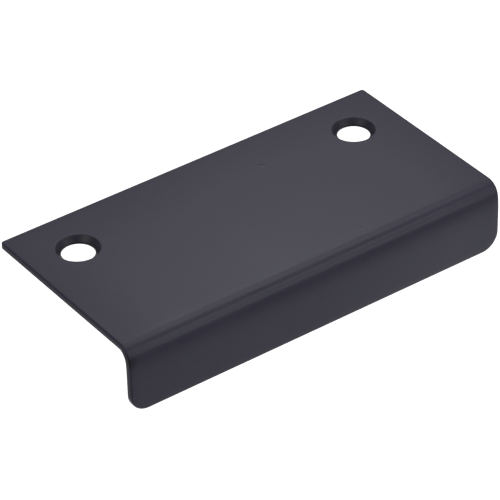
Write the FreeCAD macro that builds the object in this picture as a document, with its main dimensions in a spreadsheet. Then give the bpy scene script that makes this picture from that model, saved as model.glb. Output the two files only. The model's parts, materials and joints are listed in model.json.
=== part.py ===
import FreeCAD, Part

import math
import os

import Sketcher

# A tab pull for a drawer front or a cabinet door: one piece of sheet metal, bent once.
# The flat plate has two countersunk screw holes near its back edge. The lip turns down at the
# front, and the fingers go behind it, in the angle between lip and plate.
#
# Frame, in millimetres: the origin is midway between the two holes, on the plate's mounting face
# (its underside). X runs along the pull, the lip is towards -Y and hangs down, and +Z is up, the
# side that the screws go in from.

# Driving sizes

SIZES = [
    ("sheet_thickness", 1.5, "the sheet, coating included"),
    ("plate_depth", 42.0, "from the back edge to the lip's front face"),
    ("lip_height", 14.3, "from the plate's top face to the lip's lower edge"),
    ("bend_inner_radius", 1.7, "inside the bend"),
    ("lip_corner_radius", 3.7, "the lip's two lower corners"),
    ("back_corner_radius", 0.65, "the plate's two back corners"),
    ("edge_radius", 0.3, "deburred and coated edge, all round the sheet, on both faces"),
    ("hole_spacing", 64.0, "between the centres of the screw holes"),
    ("hole_inset", 10.4, "from the back edge to the line of holes"),
    ("end_margin", 10.3, "from each hole's centre to the end of the pull"),
    ("hole_diameter", 6.4, "the straight part of each hole"),
    ("countersink_diameter", 8.5, "at the plate's top face"),
    ("countersink_angle", 90.0, "the cone's whole angle, in degrees"),
    ("rim_radius", 0.12, "the coating over the rims of the holes"),
]

NODE = "pull_plate"
TOLERANCE = 1e-4

# The sketcher's numbers for the points of a curve, and for a sketch's own origin and X axis
START, END, CENTRE = range(1, 4)
ORIGIN = (-1, START)
X_AXIS = -1

ALONG_X = FreeCAD.Vector(1, 0, 0)
ALONG_Y = FreeCAD.Vector(0, 1, 0)
ALONG_Z = FreeCAD.Vector(0, 0, 1)

doc = FreeCAD.newDocument("tab_pull")


def fill_sheet():
    """Writes the driving sizes into a spreadsheet, one named cell a row."""
    sheet = doc.addObject("Spreadsheet::Sheet", "Sizes")
    for row, (name, value, note) in enumerate(SIZES, start=1):
        sheet.set(f"A{row}", name)
        sheet.set(f"B{row}", str(value))
        sheet.set(f"C{row}", note)
        sheet.setAlias(f"B{row}", name)
    doc.recompute()
    return sheet


def new_sketch(body, name, role):
    """An empty sketch on the body's own origin plane of that role."""
    plane = next(item for item in body.Origin.OriginFeatures if item.Role == role)
    sketch = body.newObject("Sketcher::SketchObject", name)
    sketch.AttachmentSupport = [(plane, "")]
    sketch.MapMode = "FlatFace"
    return sketch


def constrain(sketch, *constraint):
    return sketch.addConstraint(Sketcher.Constraint(*constraint))


def add_dimension(sketch, name, expression, *constraint):
    """Adds a named dimension to a sketch and binds it to the sheet."""
    sketch.renameConstraint(constrain(sketch, *constraint), name)
    sketch.setExpression(f"Constraints.{name}", expression)


def edge_names(shape, wanted):
    """Names of the edges that the test `wanted` picks."""
    return [f"Edge{i}" for i, edge in enumerate(shape.Edges, start=1) if wanted(edge)]


def is_near(a, b):
    return abs(a - b) < TOLERANCE


def runs_along(edge, direction):
    """True for a straight edge along the given direction."""
    if not isinstance(edge.Curve, Part.Line):
        return False
    return is_near(abs(edge.Curve.Direction.dot(direction)), 1)


def is_full_circle(edge):
    return isinstance(edge.Curve, Part.Circle) and edge.isClosed()


def add_fillet(body, name, base, edges, radius):
    """Rounds the named edges of a feature, by a size in the sheet."""
    fillet = body.newObject("PartDesign::Fillet", name)
    fillet.Base = (base, edges)
    fillet.setExpression("Radius", radius)
    doc.recompute()
    return fillet


# The bent section

def draw_section(body, sizes):
    """The sheet's section seen from the end: plate, bend and lip, one thickness all the way.

    In this sketch x is the part's Y and y is its Z.
    """
    thickness = sizes.sheet_thickness
    inner = sizes.bend_inner_radius
    back = sizes.hole_inset
    front = back - sizes.plate_depth
    low = thickness - sizes.lip_height
    rear = front + thickness
    centre = FreeCAD.Vector(rear + inner, -inner, 0)

    def line(y1, z1, y2, z2):
        ends = FreeCAD.Vector(y1, z1, 0), FreeCAD.Vector(y2, z2, 0)
        return sketch.addGeometry(Part.LineSegment(*ends))

    def quarter(radius):
        circle = Part.Circle(centre, ALONG_Z, radius)
        return sketch.addGeometry(Part.ArcOfCircle(circle, math.pi / 2, math.pi))

    sketch = new_sketch(body, "SheetSection", "YZ_Plane")
    top_line = line(back, thickness, centre.x, thickness)
    outer_bend = quarter(inner + thickness)
    front_line = line(front, centre.y, front, low)
    low_line = line(front, low, rear, low)
    rear_line = line(rear, low, rear, centre.y)
    inner_bend = quarter(inner)
    under_line = line(centre.x, 0, back, 0)
    back_line = line(back, 0, back, thickness)

    constrain(sketch, "Tangent", top_line, END, outer_bend, START)
    constrain(sketch, "Tangent", outer_bend, END, front_line, START)
    constrain(sketch, "Coincident", front_line, END, low_line, START)
    constrain(sketch, "Coincident", low_line, END, rear_line, START)
    constrain(sketch, "Tangent", rear_line, END, inner_bend, END)
    constrain(sketch, "Tangent", inner_bend, START, under_line, START)
    constrain(sketch, "Coincident", under_line, END, back_line, START)
    constrain(sketch, "Coincident", back_line, END, top_line, START)
    constrain(sketch, "Coincident", inner_bend, CENTRE, outer_bend, CENTRE)
    constrain(sketch, "Horizontal", top_line)
    constrain(sketch, "Vertical", front_line)
    constrain(sketch, "Horizontal", low_line)
    constrain(sketch, "Vertical", back_line)
    constrain(sketch, "PointOnObject", under_line, END, X_AXIS)

    foot = (back_line, START)
    head = (back_line, END)
    toe = (low_line, START)
    add_dimension(sketch, "inset", "Sizes.hole_inset", "DistanceX", *ORIGIN, *foot, back)
    add_dimension(sketch, "thickness", "Sizes.sheet_thickness", "DistanceY", *foot, *head, thickness)
    add_dimension(sketch, "depth", "Sizes.plate_depth", "DistanceX", *toe, *foot, back - front)
    add_dimension(sketch, "height", "Sizes.lip_height", "DistanceY", *toe, *head, thickness - low)
    add_dimension(sketch, "bend", "Sizes.bend_inner_radius", "Radius", inner_bend, inner)
    return sketch


def pad_section(body, section):
    """Gives the section its length, half of it each way from the middle."""
    pad = body.newObject("PartDesign::Pad", "BentSheet")
    pad.Profile = section
    pad.Midplane = True
    pad.setExpression("Length", "Sizes.hole_spacing + 2 * Sizes.end_margin")
    doc.recompute()
    return pad


# The corners and the edge of the sheet

def round_lip_corners(body, sizes, base):
    """Rounds the lip's two lower corners, through the sheet."""
    low = sizes.sheet_thickness - sizes.lip_height
    corners = edge_names(
        base.Shape,
        lambda edge: runs_along(edge, ALONG_Y) and is_near(edge.CenterOfMass.z, low),
    )
    return add_fillet(body, "LipCorners", base, corners, "Sizes.lip_corner_radius")


def round_back_corners(body, sizes, base):
    """Rounds the plate's two back corners, through the sheet."""
    corners = edge_names(
        base.Shape,
        lambda edge: runs_along(edge, ALONG_Z) and is_near(edge.CenterOfMass.y, sizes.hole_inset),
    )
    return add_fillet(body, "BackCorners", base, corners, "Sizes.back_corner_radius")


def round_sheet_edge(body, sizes, base):
    """Rounds the sheet's edge on both faces. Each fillet starts at the back and follows the
    tangent edges all the way round."""
    back_edges = edge_names(
        base.Shape,
        lambda edge: runs_along(edge, ALONG_X) and is_near(edge.CenterOfMass.y, sizes.hole_inset),
    )
    return add_fillet(body, "SheetEdge", base, back_edges, "Sizes.edge_radius")


# The screw holes

def draw_hole_circles(body, sizes):
    """Two circles on the plate's top face, one for each hole, either side of the origin."""
    half = sizes.hole_spacing / 2
    radius = sizes.hole_diameter / 2
    sketch = new_sketch(body, "HoleCircles", "XY_Plane")
    sketch.setExpression("AttachmentOffset.Base.z", "Sizes.sheet_thickness")
    left, right = (
        sketch.addGeometry(Part.Circle(FreeCAD.Vector(x, 0, 0), ALONG_Z, radius)) for x in (-half, half)
    )
    constrain(sketch, "Symmetric", left, CENTRE, right, CENTRE, *ORIGIN)
    constrain(sketch, "PointOnObject", left, CENTRE, X_AXIS)
    constrain(sketch, "Equal", left, right)
    centres = (left, CENTRE, right, CENTRE)
    add_dimension(sketch, "spacing", "Sizes.hole_spacing", "DistanceX", *centres, sizes.hole_spacing)
    add_dimension(sketch, "bore", "Sizes.hole_diameter", "Diameter", left, sizes.hole_diameter)
    doc.recompute()
    return sketch


def drill_holes(body, circles):
    """Countersunk holes from the top face down through the sheet."""
    holes = body.newObject("PartDesign::Hole", "ScrewHoles")
    holes.Profile = circles
    doc.recompute()
    holes.Threaded = False
    holes.DepthType = "ThroughAll"
    holes.HoleCutType = "Countersink"
    holes.HoleCutCustomValues = True
    holes.setExpression("Diameter", "Sizes.hole_diameter")
    holes.setExpression("HoleCutDiameter", "Sizes.countersink_diameter")
    holes.setExpression("HoleCutCountersinkAngle", "Sizes.countersink_angle")
    doc.recompute()
    return holes


def round_rims(body, sizes, base):
    """Rounds the rim of each hole where it meets the plate's two faces."""
    faces = (0, sizes.sheet_thickness)
    rims = edge_names(
        base.Shape,
        lambda edge: is_full_circle(edge) and any(is_near(edge.CenterOfMass.z, z) for z in faces),
    )
    return add_fillet(body, "HoleRims", base, rims, "Sizes.rim_radius")


# Checks

def check_countersinks(sizes, before, after):
    """Stops unless the holes take more out of the sheet than two straight bores would."""
    bores = 2 * math.pi * (sizes.hole_diameter / 2) ** 2 * sizes.sheet_thickness
    removed = before.Shape.Volume - after.Shape.Volume
    if removed <= bores:
        raise RuntimeError(f"the countersinks cut nothing: {removed:.2f} mm3 out, {bores:.2f} in the bores")


def check_objects():
    """Stops if any object of the document failed to build."""
    for item in doc.Objects:
        if "Invalid" in item.State or "Error" in item.State:
            raise RuntimeError(f"{item.Name} failed: {item.State}")


def check_solid(shape):
    """Stops if the pull isn't one valid solid."""
    if shape.isNull() or not shape.isValid() or len(shape.Solids) != 1:
        raise RuntimeError(f"{NODE} isn't one valid solid")


# The part

def build_pull():
    sizes = fill_sheet()
    body = doc.addObject("PartDesign::Body", "PullPlate")
    body.Label = NODE
    sheet = pad_section(body, draw_section(body, sizes))
    sheet = round_lip_corners(body, sizes, sheet)
    sheet = round_back_corners(body, sizes, sheet)
    sheet = round_sheet_edge(body, sizes, sheet)
    drilled = drill_holes(body, draw_hole_circles(body, sizes))
    check_objects()
    check_countersinks(sizes, sheet, drilled)
    body.Tip = round_rims(body, sizes, drilled)
    doc.recompute()
    return body


pull = build_pull()
check_objects()
check_solid(pull.Shape)
print(f"{NODE}: {pull.Shape.Volume:.1f} mm3")

os.makedirs("parts", exist_ok=True)
pull.Shape.exportStep(f"parts/{pull.Label}.step")
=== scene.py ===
import json
import math

import bmesh
import bpy
import numpy as np
from mathutils import Matrix, Vector
from mathutils.geometry import delaunay_2d_cdt


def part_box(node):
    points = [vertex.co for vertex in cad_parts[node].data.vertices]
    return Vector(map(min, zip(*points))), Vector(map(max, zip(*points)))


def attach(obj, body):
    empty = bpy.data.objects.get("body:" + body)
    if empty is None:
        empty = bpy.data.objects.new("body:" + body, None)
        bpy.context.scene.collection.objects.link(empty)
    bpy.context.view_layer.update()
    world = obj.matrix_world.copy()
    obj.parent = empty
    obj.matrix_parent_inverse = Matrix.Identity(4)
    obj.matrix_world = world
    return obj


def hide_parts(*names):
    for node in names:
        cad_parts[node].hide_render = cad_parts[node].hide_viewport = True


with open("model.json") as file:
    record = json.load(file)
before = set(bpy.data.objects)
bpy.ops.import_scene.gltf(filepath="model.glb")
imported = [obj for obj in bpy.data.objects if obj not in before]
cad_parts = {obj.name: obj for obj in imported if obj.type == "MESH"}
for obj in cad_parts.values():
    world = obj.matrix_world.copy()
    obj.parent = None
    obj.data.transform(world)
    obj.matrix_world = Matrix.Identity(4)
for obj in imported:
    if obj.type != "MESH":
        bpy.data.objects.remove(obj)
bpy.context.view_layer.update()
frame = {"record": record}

# A folded sheet-metal tab pull in matt black powder coat, alone on a white ground.
#
# The pull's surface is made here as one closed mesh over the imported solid. It starts as the flat
# blank: u runs along the pull, v along its outer face from the back edge to the lip's lower edge,
# and w down through the sheet. The blank is then bent. Lengths of the object are in millimetres
# until `place` turns them into metres, and those of the studio are in metres.

MM = 0.001
NODE = "pull_plate"
BODY = "root"
SLOT = "black_powder_coat"

# Sizes read from the frame

low, high = (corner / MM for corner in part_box(NODE))
HALF_LENGTH = high.x
BACK = high.y
FRONT = low.y
TOP = high.z
FOOT = low.z
# The plate's underside lies at z = 0
SHEET = TOP
HOLES = next(mount for mount in frame["record"]["mounts"] if mount["name"] == "screw_holes")["dims"]
HOLE_X = HOLES["spacing_x_mm"] / 2
BORE_RADIUS = HOLES["hole_r_mm"]
# The holes lie at y = 0, so their v is the back edge's y
HOLE_V = BACK

# Sizes of the blank's corners and edges

BACK_CORNER = 0.65
LIP_CORNER = 3.7
EDGE_RADIUS = 0.3
# The outer face dips a little towards its outline, as a cut sheet does
DIP_DEPTH = 0.04
DIP_WIDTH = 1.6

# Sizes of the holes, from the outer face inwards: countersink, its rim, the throat and the exit

COUNTERSINK_RADIUS = 4.25
COUNTERSINK_SLANT = math.radians(45)
RIM_RADIUS = 0.35
THROAT_RADIUS = 0.25
EXIT_RADIUS = 0.14

# The bend is tightest in its middle and eases into the flats on both sides

BEND_RADIUS = 3.0
EASE_INTO_PLATE = 0.35
EASE_INTO_LIP = 1.25
# Each easing is followed for this many times its own length
EASE_SPAN = 8
# Bending squeezes the inside of the bend out at the two ends, and draws the outside in by a share
BULGE = 0.09
BULGE_REACH = 1.6
DRAW_IN = 0.3
# The bulge ends where the slope is this near, in radians, to the flats' own
BULGE_SLOPE = 0.1

# How finely the mesh is divided

LINE_STEP = 0.01
GRID = 1.2
LIP_GRID = 0.6
BEND_STEP = math.radians(3.5)
ARC_STEPS = 6
RIM_POINTS = 5
EXIT_POINTS = 6
RING_POINTS = 96
# The flat strip beside a rounded edge, which holds its shading
MARGIN = 0.16
# A back corner keeps at least this radius as the outline is drawn in
SMALLEST_CORNER = 0.1
# Loops of points on the faces beyond those strips: further in from the outline, and further out
# from each hole with their number of points
OUTLINE_LOOPS = (0.35, 0.75, 1.2)
HOLE_LOOPS = ((0.45, 64), (1.1, 48))
# How far the grid of points stays from the outline's loops, and from a hole
CLEARANCE = 0.45
HOLE_CLEARANCE = 2.0
# Points of a face nearer to each other than this count as one
NEARNESS = 1e-6
# Two triangles of a face become a quad where it is flat and square to within these, in radians
QUAD_FLATNESS = 0.1
QUAD_SQUARENESS = 0.9


# The bent line of the outer face

def bent_line():
    """The outer face's line from the back edge to the lip's foot: v, y, z and slope, in fine steps."""
    arc = BEND_RADIUS * math.pi / 2 - EASE_INTO_PLATE - EASE_INTO_LIP
    s = np.arange(-EASE_SPAN * EASE_INTO_PLATE, arc + EASE_SPAN * EASE_INTO_LIP, LINE_STEP)
    tail_in = np.exp(np.minimum(s, 0) / EASE_INTO_PLATE)
    tail_out = np.exp(np.minimum(arc - s, 0) / EASE_INTO_LIP)
    slope = np.cumsum(tail_in * tail_out)
    slope *= math.pi / 2 / slope[-1]
    run = np.cumsum(np.cos(slope)) * LINE_STEP
    drop = np.cumsum(np.sin(slope)) * LINE_STEP
    start_y = FRONT + run[-1]
    plate = BACK - start_y
    lip = TOP - drop[-1] - FOOT
    v = np.concatenate(([0], plate + s - s[0], [plate + s[-1] - s[0] + lip]))
    y = np.concatenate(([BACK], start_y - run, [FRONT]))
    z = np.concatenate(([TOP], TOP - drop, [FOOT]))
    slope = np.concatenate(([0], slope, [math.pi / 2]))
    return v, y, z, slope


LINE_V, LINE_Y, LINE_Z, LINE_SLOPE = bent_line()
WIDTH = LINE_V[-1]
BEND_FROM, BEND_TO = np.interp((BULGE_SLOPE, math.pi / 2 - BULGE_SLOPE), LINE_SLOPE, LINE_V)


def depth_inside(u, v):
    """How far the point lies inside the blank's outline, less than 0 outside it."""
    across = abs(u) - (HALF_LENGTH - LIP_CORNER)
    beyond = v - (WIDTH - LIP_CORNER)
    if across > 0 and beyond > 0:
        return LIP_CORNER - math.hypot(across, beyond)
    return min(HALF_LENGTH - abs(u), v, WIDTH - v)


def place(u, v, w):
    """The point in metres of a point of the blank, after the bend."""
    w += DIP_DEPTH * max(0.0, 1 - depth_inside(u, v) / DIP_WIDTH) ** 2 * (1 - w / SHEET)
    slope = np.interp(v, LINE_V, LINE_SLOPE)
    y = np.interp(v, LINE_V, LINE_Y) + w * math.sin(slope)
    z = np.interp(v, LINE_V, LINE_Z) - w * math.cos(slope)
    share = (v - BEND_FROM) / (BEND_TO - BEND_FROM)
    swell = max(0.0, 1 - (2 * share - 1) ** 2) ** 2
    near_end = math.exp((abs(u) - HALF_LENGTH) / BULGE_REACH)
    bulge = BULGE * swell * near_end * ((1 + DRAW_IN) * w / SHEET - DRAW_IN)
    return Vector((u + math.copysign(bulge, u), y, z)) * MM


# The blank

def spaced(start, end, step):
    """Even values from start to end, about a step apart, both ends included."""
    return np.linspace(start, end, max(2, round((end - start) / step) + 1))


def sheet_rows():
    """Values of v for the rows of the mesh: close together in the bend."""
    bend = np.arange(0, math.pi / 2, BEND_STEP)[1:]
    in_bend = np.interp(bend, LINE_SLOPE, LINE_V)
    plate = spaced(BACK_CORNER, in_bend[0], GRID)[:-1]
    lip = spaced(in_bend[-1], WIDTH - LIP_CORNER, LIP_GRID)[1:]
    return np.concatenate((plate, in_bend, lip))


ROWS = sheet_rows()
COLUMNS = spaced(-HALF_LENGTH + LIP_CORNER, HALF_LENGTH - LIP_CORNER, GRID)


def corner(u, v, radius, start, steps):
    """A quarter of a circle about (u, v), turning on from the angle `start`."""
    angles = start + np.linspace(0, math.pi / 2, steps + 1)
    return [(u + radius * math.cos(a), v + radius * math.sin(a)) for a in angles]


def contour(inset):
    """The blank's outline, drawn in by `inset`. Every inset gives as many points, in the same order."""
    half = HALF_LENGTH
    far = WIDTH - LIP_CORNER
    back_radius = max(BACK_CORNER - inset, SMALLEST_CORNER)
    near = inset + back_radius
    back = half - near
    back_columns = spaced(BACK_CORNER - half, half - BACK_CORNER, GRID)[1:-1]
    points = []
    points += corner(-back, near, back_radius, math.pi, ARC_STEPS)
    points += [(u, inset) for u in back_columns]
    points += corner(back, near, back_radius, math.pi * 3 / 2, ARC_STEPS)
    points += [(half - inset, v) for v in ROWS[1:-1]]
    points += corner(half - LIP_CORNER, far, LIP_CORNER - inset, 0, 2 * ARC_STEPS)
    points += [(u, WIDTH - inset) for u in COLUMNS[-2:0:-1]]
    points += corner(LIP_CORNER - half, far, LIP_CORNER - inset, math.pi / 2, 2 * ARC_STEPS)
    points += [(inset - half, v) for v in ROWS[-2:0:-1]]
    return points


def ring(side, radius, count=RING_POINTS):
    """A circle about the hole on that side, -1 for the left and 1 for the right."""
    angles = np.arange(count) * math.tau / count
    return [(side * HOLE_X + radius * math.cos(a), HOLE_V + radius * math.sin(a)) for a in angles]


def from_hole(u, v):
    """How far the point lies from the axis of the nearer hole."""
    return math.hypot(abs(u) - HOLE_X, v - HOLE_V)


def edge_profile():
    """(inset, w) from the outer face round the sheet's edge to the inner face."""
    turns = np.linspace(0, math.pi / 2, ARC_STEPS + 1)
    upper = [(EDGE_RADIUS * (1 - math.sin(a)), EDGE_RADIUS * (1 - math.cos(a))) for a in turns]
    lower = [(inset, SHEET - w) for inset, w in reversed(upper)]
    flat = EDGE_RADIUS + MARGIN
    return [(flat, 0), *upper, (0, SHEET / 2), *lower, (flat, SHEET)]


def hole_profile():
    """(radius, w) from the outer face down the countersink and the bore to the inner face.

    At 45 degrees the countersink is as deep as its wall is wide, and the wall turns by the same
    angle at its rim as at its throat.
    """
    reach = math.tan(COUNTERSINK_SLANT / 2)
    rim = [
        (COUNTERSINK_RADIUS + RIM_RADIUS * (reach - math.sin(a)), RIM_RADIUS * (1 - math.cos(a)))
        for a in np.linspace(0, COUNTERSINK_SLANT, RIM_POINTS)
    ]
    depth = COUNTERSINK_RADIUS - BORE_RADIUS
    throat = [
        (BORE_RADIUS + THROAT_RADIUS * (1 - math.sin(a)), depth + THROAT_RADIUS * (reach - math.cos(a)))
        for a in np.linspace(COUNTERSINK_SLANT, math.pi / 2, RIM_POINTS)
    ]
    exit_rim = [
        (BORE_RADIUS + EXIT_RADIUS * (1 - math.cos(a)), SHEET - EXIT_RADIUS * (1 - math.sin(a)))
        for a in np.linspace(0, math.pi / 2, EXIT_POINTS)
    ]
    flat_top = (rim[0][0] + MARGIN, 0)
    flat_under = (exit_rim[-1][0] + MARGIN, SHEET)
    return [flat_top, *rim, *throat, *exit_rim, flat_under]


def face_points(hole_radius):
    """Points spread over one face of the sheet, clear of its outline and its holes."""
    loops = [EDGE_RADIUS + MARGIN + further for further in OUTLINE_LOOPS]
    points = [point for loop in loops for point in contour(loop)]
    start = loops[-1] + CLEARANCE
    half = HALF_LENGTH - start
    rows = [start, *ROWS[ROWS > start + CLEARANCE], *spaced(ROWS[-1], WIDTH - start, GRID)[1:]]
    for v in rows:
        for u in spaced(-half, half, GRID):
            in_outline = depth_inside(u, v) > start - CLEARANCE / 2
            if in_outline and from_hole(u, v) > hole_radius + HOLE_CLEARANCE:
                points.append((u, v))
    for side in (-1, 1):
        for further, count in HOLE_LOOPS:
            points += ring(side, hole_radius + further, count)
    return points


class Sheet:
    """Collects the vertices and faces of the sheet's surface."""

    def __init__(self):
        self.blank = []
        self.faces = []

    def add(self, points, w):
        """Adds the points at the depth w and gives their numbers."""
        first = len(self.blank)
        self.blank += [(u, v, w) for u, v in points]
        return list(range(first, len(self.blank)))

    def join(self, loops):
        """Quads between each loop and the next. All the loops have as many points."""
        for upper, lower in zip(loops, loops[1:]):
            for i in range(len(upper)):
                j = (i + 1) % len(upper)
                self.faces.append((upper[i], upper[j], lower[j], lower[i]))

    def fill(self, outline, rings, w, hole_radius):
        """Triangles over the face between the outline and the rings of the two holes."""
        inner = self.add(face_points(hole_radius), w)
        used = outline + rings[0] + rings[1] + inner
        flat = [Vector(self.blank[i][:2]) for i in used]
        edges = []
        first = 0
        for loop in (outline, *rings):
            edges += [(first + i, first + (i + 1) % len(loop)) for i in range(len(loop))]
            first += len(loop)
        # Kind 0 gives triangles over the whole outline, so those in the holes are left out here
        points, _, triangles, sources, _, _ = delaunay_2d_cdt(flat, edges, [], 0, NEARNESS, True)
        for triangle in triangles:
            centre = sum((points[i] for i in triangle), Vector((0, 0))) / 3
            if from_hole(*centre) > hole_radius:
                self.faces.append([used[sources[i][0]] for i in triangle])


def make_sheet():
    """The whole surface of the flat blank: its edge, its holes and its two faces."""
    sheet = Sheet()
    edge = [sheet.add(contour(inset), w) for inset, w in edge_profile()]
    sheet.join(edge)
    profile = hole_profile()
    holes = []
    for side in (-1, 1):
        rings = [sheet.add(ring(side, radius), w) for radius, w in profile]
        sheet.join(rings)
        holes.append(rings)
    for end in (0, -1):
        radius, w = profile[end]
        sheet.fill(edge[end], [rings[end] for rings in holes], w, radius)
    return sheet


def add_object(name, data):
    """A new object of the scene, with that mesh, lamp or camera as its data."""
    thing = bpy.data.objects.new(name, data)
    bpy.context.scene.collection.objects.link(thing)
    return thing


def make_pull():
    sheet = make_sheet()
    mesh = bpy.data.meshes.new("coated_pull")
    mesh.from_pydata([place(*point) for point in sheet.blank], [], sheet.faces)
    model = bmesh.new()
    model.from_mesh(mesh)
    bmesh.ops.recalc_face_normals(model, faces=model.faces)
    flats = [face for face in model.faces if len(face.verts) == 3]
    bmesh.ops.join_triangles(
        model,
        faces=flats,
        angle_face_threshold=QUAD_FLATNESS,
        angle_shape_threshold=QUAD_SQUARENESS,
    )
    for face in model.faces:
        face.smooth = True
    open_edges = sum(len(edge.link_faces) != 2 for edge in model.edges)
    if open_edges:
        raise RuntimeError(f"the pull's surface has {open_edges} open edges")
    model.to_mesh(mesh)
    model.free()
    pull = add_object("coated_pull", mesh)
    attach(pull, BODY)
    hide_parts(NODE)
    return pull


# Material

# The coat's relief: heights in millimetres, and how many waves lie on a metre
PEEL_HEIGHT = 0.012
PEEL_WAVES = 520
GRAIN_HEIGHT = 0.003
GRAIN_WAVES = 2400
PATCH_WAVES = 55
# Small nibs under the coat: x, y, radius and height in millimetres, on the top face
NIBS = [(10.7, 1.0, 0.62, 0.09), (12.9, -26.3, 0.6, 0.05), (15.9, -15.2, 0.42, 0.04)]

# The coat's colour goes from deep to pale with the patches and the grain, and its roughness from
# low to high with the patches alone
DEEP_COLOUR = (0.017, 0.0155, 0.034, 1)
PALE_COLOUR = (0.023, 0.0213, 0.042, 1)
PATCH_SHARE = 0.6
GRAIN_SHARE = 0.4
NOISE_LOW = 0.3
NOISE_HIGH = 0.7
ROUGHNESS_LOW = 0.36
ROUGHNESS_HIGH = 0.41
SPECULAR = 0.32

# Towards the back edge and the two ends the coat gets a little rougher, and painted shade darkens its
# colour there
BORDER_REACH = 13.0
BORDER_ROUGHNESS = 0.05
BORDER_SHADE = -0.18

# Painted shade darkens the walls of the holes, and a spot on the bend's left end
WELL_EDGE = 0.15
WELL_SHADE_COLOUR = (0.009, 0.008, 0.017, 1)
# Painted shade: a dark spot on the bend's left end
BEND_SHADE_DROP = 2.7
BEND_SHADE_CENTRE = Vector((-HALF_LENGTH, FRONT, TOP - BEND_SHADE_DROP)) * MM
BEND_SHADE_REACH = 2.6
BEND_SHADE_COLOUR = (0.001, 0.0005, 0.005, 1)


class Nodes:
    """Short ways to add the nodes of one material or world."""

    def __init__(self, owner):
        owner.use_nodes = True
        self.tree = owner.node_tree

    def set(self, socket, value):
        """Links the value to the socket if it is one itself, and otherwise writes it there."""
        if isinstance(value, bpy.types.NodeSocket):
            self.tree.links.new(value, socket)
        else:
            socket.default_value = value

    def add(self, kind, **inputs):
        """A node with values or links on the inputs named; underscores stand for blanks."""
        node = self.tree.nodes.new(kind)
        for name, value in inputs.items():
            self.set(node.inputs[name.replace("_", " ")], value)
        return node

    def operate(self, kind, operation, values):
        node = self.tree.nodes.new(kind)
        node.operation = operation
        for socket, value in zip(node.inputs, values):
            self.set(socket, value)
        return node

    def math(self, operation, *values):
        return self.operate("ShaderNodeMath", operation, values).outputs[0]

    def vector(self, operation, *values):
        return self.operate("ShaderNodeVectorMath", operation, values).outputs["Vector"]

    def distance(self, *points):
        return self.operate("ShaderNodeVectorMath", "DISTANCE", points).outputs["Value"]

    def noise(self, point, waves, detail):
        return self.add("ShaderNodeTexNoise", Vector=point, Scale=waves, Detail=detail).outputs["Fac"]

    def fade(self, value, start, end, height=1.0):
        """Rises smoothly from 0 where the value is `start` to `height` where it is `end`."""
        node = self.add("ShaderNodeMapRange", Value=value, From_Min=start, From_Max=end, To_Max=height)
        node.interpolation_type = "SMOOTHSTEP"
        return node.outputs[0]

    def blend(self, share, first, second):
        """The first colour, turning into the second as the share goes from 0 to 1."""
        return self.add("ShaderNodeMixRGB", Fac=share, Color1=first, Color2=second).outputs["Color"]

    def mix(self, share, first, second):
        """The first shader, turning into the second as the share goes from 0 to 1."""
        node = self.add("ShaderNodeMixShader", Fac=share)
        self.set(node.inputs[1], first)
        self.set(node.inputs[2], second)
        return node.outputs[0]


def coat_colour(nodes, point, border, patches, grain):
    """The coat's base colour, with painted shade in the holes, on a spot at the bend's left end and
    towards the back edge and the ends.
    """
    tone = nodes.math("MULTIPLY", patches, PATCH_SHARE)
    tone = nodes.math("ADD", tone, nodes.math("MULTIPLY", grain, GRAIN_SHARE))
    # Painted shade: the colour darkens towards the back edge and the two ends
    tone = nodes.math("MULTIPLY_ADD", border, BORDER_SHADE, tone)
    ramp = nodes.add("ShaderNodeValToRGB", Fac=tone)
    for element, position, colour in zip(
        ramp.color_ramp.elements, (NOISE_LOW, NOISE_HIGH), (DEEP_COLOUR, PALE_COLOUR)
    ):
        element.position = position
        element.color = colour
    # The distance from the nearer hole's axis: both holes are as far from x = 0, and at y = 0
    level = nodes.vector("MULTIPLY", nodes.vector("ABSOLUTE", point), (1, 1, 0))
    from_axis = nodes.distance(level, (HOLE_X * MM, 0, 0))
    wall = COUNTERSINK_RADIUS * MM
    # Painted shade on the walls of the countersinks
    well = nodes.fade(from_axis, wall + WELL_EDGE * MM, wall - WELL_EDGE * MM)
    # Painted shade on a spot at the bend's left end
    bend_shade = nodes.fade(nodes.distance(point, BEND_SHADE_CENTRE), BEND_SHADE_REACH * MM, 0)
    colour = nodes.blend(well, ramp.outputs["Color"], WELL_SHADE_COLOUR)
    return nodes.blend(bend_shade, colour, BEND_SHADE_COLOUR)


def coat_relief(nodes, point, grain):
    """The coat's height in millimetres: orange peel, grain and nibs."""
    peel = nodes.noise(point, PEEL_WAVES, detail=2)
    relief = nodes.math("MULTIPLY", peel, PEEL_HEIGHT)
    relief = nodes.math("MULTIPLY_ADD", grain, GRAIN_HEIGHT, relief)
    for x, y, radius, height in NIBS:
        near = nodes.distance(point, (x * MM, y * MM, TOP * MM))
        relief = nodes.math("ADD", relief, nodes.fade(near, radius * MM, 0, height))
    return relief


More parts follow.
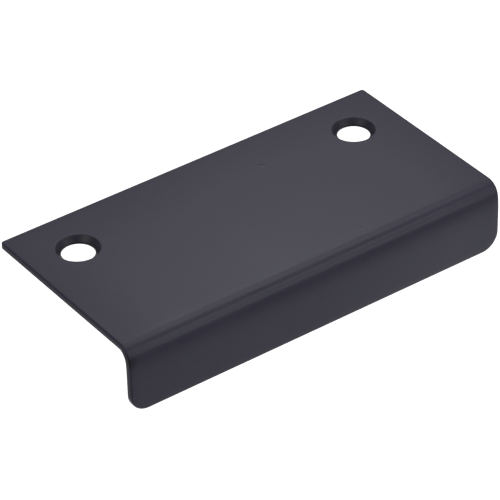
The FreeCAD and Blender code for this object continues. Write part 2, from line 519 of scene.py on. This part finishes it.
def powder_coat():
    material = bpy.data.materials.new(SLOT)
    nodes = Nodes(material)
    shader = nodes.tree.nodes["Principled BSDF"]
    point = nodes.add("ShaderNodeTexCoord").outputs["Object"]
    patches = nodes.noise(point, PATCH_WAVES, detail=3)
    grain = nodes.noise(point, GRAIN_WAVES, detail=1)

    part = nodes.add("ShaderNodeSeparateXYZ", Vector=point)
    from_end = nodes.math("SUBTRACT", HALF_LENGTH * MM, nodes.math("ABSOLUTE", part.outputs["X"]))
    from_back = nodes.math("SUBTRACT", BACK * MM, part.outputs["Y"])
    # This share both roughens the coat and darkens its colour as painted shade
    border = nodes.fade(nodes.math("MINIMUM", from_end, from_back), BORDER_REACH * MM, 0)
    nodes.set(shader.inputs["Base Color"], coat_colour(nodes, point, border, patches, grain))

    rough = nodes.add(
        "ShaderNodeMapRange",
        Value=patches,
        From_Min=NOISE_LOW,
        From_Max=NOISE_HIGH,
        To_Min=ROUGHNESS_LOW,
        To_Max=ROUGHNESS_HIGH,
    ).outputs[0]
    nodes.set(shader.inputs["Roughness"], nodes.math("MULTIPLY_ADD", border, BORDER_ROUGHNESS, rough))
    shader.inputs["Specular IOR Level"].default_value = SPECULAR

    bump = nodes.add("ShaderNodeBump", Height=coat_relief(nodes, point, grain), Distance=MM)
    nodes.set(shader.inputs["Normal"], bump.outputs["Normal"])
    return material


# Places round the pull

def direction(azimuth, elevation):
    """The unit vector from the pull, in degrees: azimuth 0 is in front of the lip, 90 to its right."""
    a, e = math.radians(azimuth), math.radians(elevation)
    return Vector((math.sin(a) * math.cos(e), -math.cos(a) * math.cos(e), math.sin(e)))


def facing(target, azimuth, elevation, distance):
    """The matrix of a camera or lamp that stands that way from the target and faces it."""
    away = direction(azimuth, elevation)
    turn = away.to_track_quat("Z", "Y").to_matrix().to_4x4()
    return Matrix.Translation(target + away * distance) @ turn


# Camera, as the photo was taken

AZIMUTH = -35.631
ELEVATION = 35.816
ROLL = 1.164
DISTANCE = 598.94 * MM
LENS = 231.78
SENSOR = 36.0
NEAR_CLIP = 0.01
FAR_CLIP = 20.0
TARGET = Vector((-2.874, -13.522, -4.111)) * MM


def make_camera():
    data = bpy.data.cameras.new("camera")
    data.lens = LENS
    data.sensor_width = SENSOR
    data.clip_start = NEAR_CLIP
    data.clip_end = FAR_CLIP
    camera = add_object("camera", data)
    tilt = Matrix.Rotation(-math.radians(ROLL), 4, "Z")
    camera.matrix_world = facing(TARGET, AZIMUTH, ELEVATION, DISTANCE) @ tilt
    bpy.context.scene.camera = camera


# Studio

# The middle of the pull, which the softboxes face, and the floor well below it
AIM = Vector((0, (BACK + FRONT) / 2, (TOP + FOOT) / 2)) * MM
FLOOR_DEPTH = 0.40
FLOOR_RADIUS = 3.0
FLOOR_SIDES = 128
FLOOR_COLOUR = (0.85, 0.85, 0.85, 1)
# The floor's white patch fills the photo's view. Its middle is shifted to the right of the pull.
# From there it is even out to GLOW_FULL and has faded away at GLOW_END, all in metres.
FLOOR_GLOW = 0.85
GLOW_AZIMUTH = 118
GLOW_SHIFT = 0.45
GLOW_FULL = 0.48
GLOW_END = 0.71
ROOM_LIGHT = 0.41

# Softboxes: name, azimuth and elevation in degrees, distance, width and height in metres, and watts
SOFTBOXES = [
    ("key", 148, 50, 0.27, 0.11, 0.11, 0.043),
    ("key_near", 136, 43, 0.16, 0.065, 0.065, 0.010),
    ("key_right", 120, 36, 0.19, 0.065, 0.065, 0.006),
    ("behind", 158, 55, 0.40, 0.20, 0.20, 0.115),
    ("overhead", 88, 67, 0.40, 0.20, 0.20, 0.29),
    ("front_high", 26, 37, 0.50, 0.40, 0.10, 0.38),
    ("front_low", 24, 12, 0.50, 0.40, 0.10, 0.34),
    ("left", -85, 46, 0.60, 0.32, 0.32, 0.60),
    ("right_low", 56, -32, 0.23, 0.10, 0.10, 0.018),
]


def add_softbox(name, azimuth, elevation, distance, width, height, power):
    data = bpy.data.lights.new(name, "AREA")
    data.shape = "RECTANGLE"
    data.size = width
    data.size_y = height
    data.energy = power
    lamp = add_object(name, data)
    lamp.visible_camera = False
    lamp.matrix_world = facing(AIM, azimuth, elevation, distance)


def shows_ground(nodes):
    """1 for rays that show the white ground: the camera's own, mirrored and passed through."""
    path = nodes.add("ShaderNodeLightPath")
    shown = nodes.math("MAXIMUM", path.outputs["Is Camera Ray"], path.outputs["Is Glossy Ray"])
    return nodes.math("MAXIMUM", shown, path.outputs["Is Transmission Ray"])


def white_floor():
    material = bpy.data.materials.new("white_floor")
    nodes = Nodes(material)
    nodes.tree.nodes.remove(nodes.tree.nodes["Principled BSDF"])
    matt = nodes.add("ShaderNodeBsdfDiffuse", Color=FLOOR_COLOUR)
    point = nodes.add("ShaderNodeTexCoord").outputs["Object"]
    away = nodes.distance(point, direction(GLOW_AZIMUTH, 0) * GLOW_SHIFT)
    patch = nodes.fade(away, GLOW_END, GLOW_FULL, FLOOR_GLOW)
    glow = nodes.add("ShaderNodeEmission", Strength=nodes.math("MULTIPLY", shows_ground(nodes), patch))
    both = nodes.tree.nodes.new("ShaderNodeAddShader")
    nodes.set(both.inputs[0], matt.outputs[0])
    nodes.set(both.inputs[1], glow.outputs[0])
    # Seen from below the floor is clear, so that it never hides the pull
    below = nodes.add("ShaderNodeNewGeometry").outputs["Backfacing"]
    clear = nodes.add("ShaderNodeBsdfTransparent").outputs[0]
    surface = nodes.mix(below, both.outputs[0], clear)
    nodes.set(nodes.tree.nodes["Material Output"].inputs["Surface"], surface)
    return material


def make_floor():
    mesh = bpy.data.meshes.new("floor")
    model = bmesh.new()
    bmesh.ops.create_circle(model, cap_ends=True, segments=FLOOR_SIDES, radius=FLOOR_RADIUS)
    model.to_mesh(mesh)
    model.free()
    mesh.materials.append(white_floor())
    floor = add_object("floor", mesh)
    floor.location = (AIM.x, AIM.y, -FLOOR_DEPTH)


def make_room():
    """An even pale room all round."""
    world = bpy.data.worlds.new("room")
    bpy.context.scene.world = world
    background = Nodes(world).tree.nodes["Background"]
    background.inputs["Color"].default_value = (1, 1, 1, 1)
    background.inputs["Strength"].default_value = ROOM_LIGHT


bpy.context.scene.view_settings.view_transform = "Standard"

pull = make_pull()
pull.data.materials.append(powder_coat())
make_camera()
make_floor()
for softbox in SOFTBOXES:
    add_softbox(*softbox)
make_room()
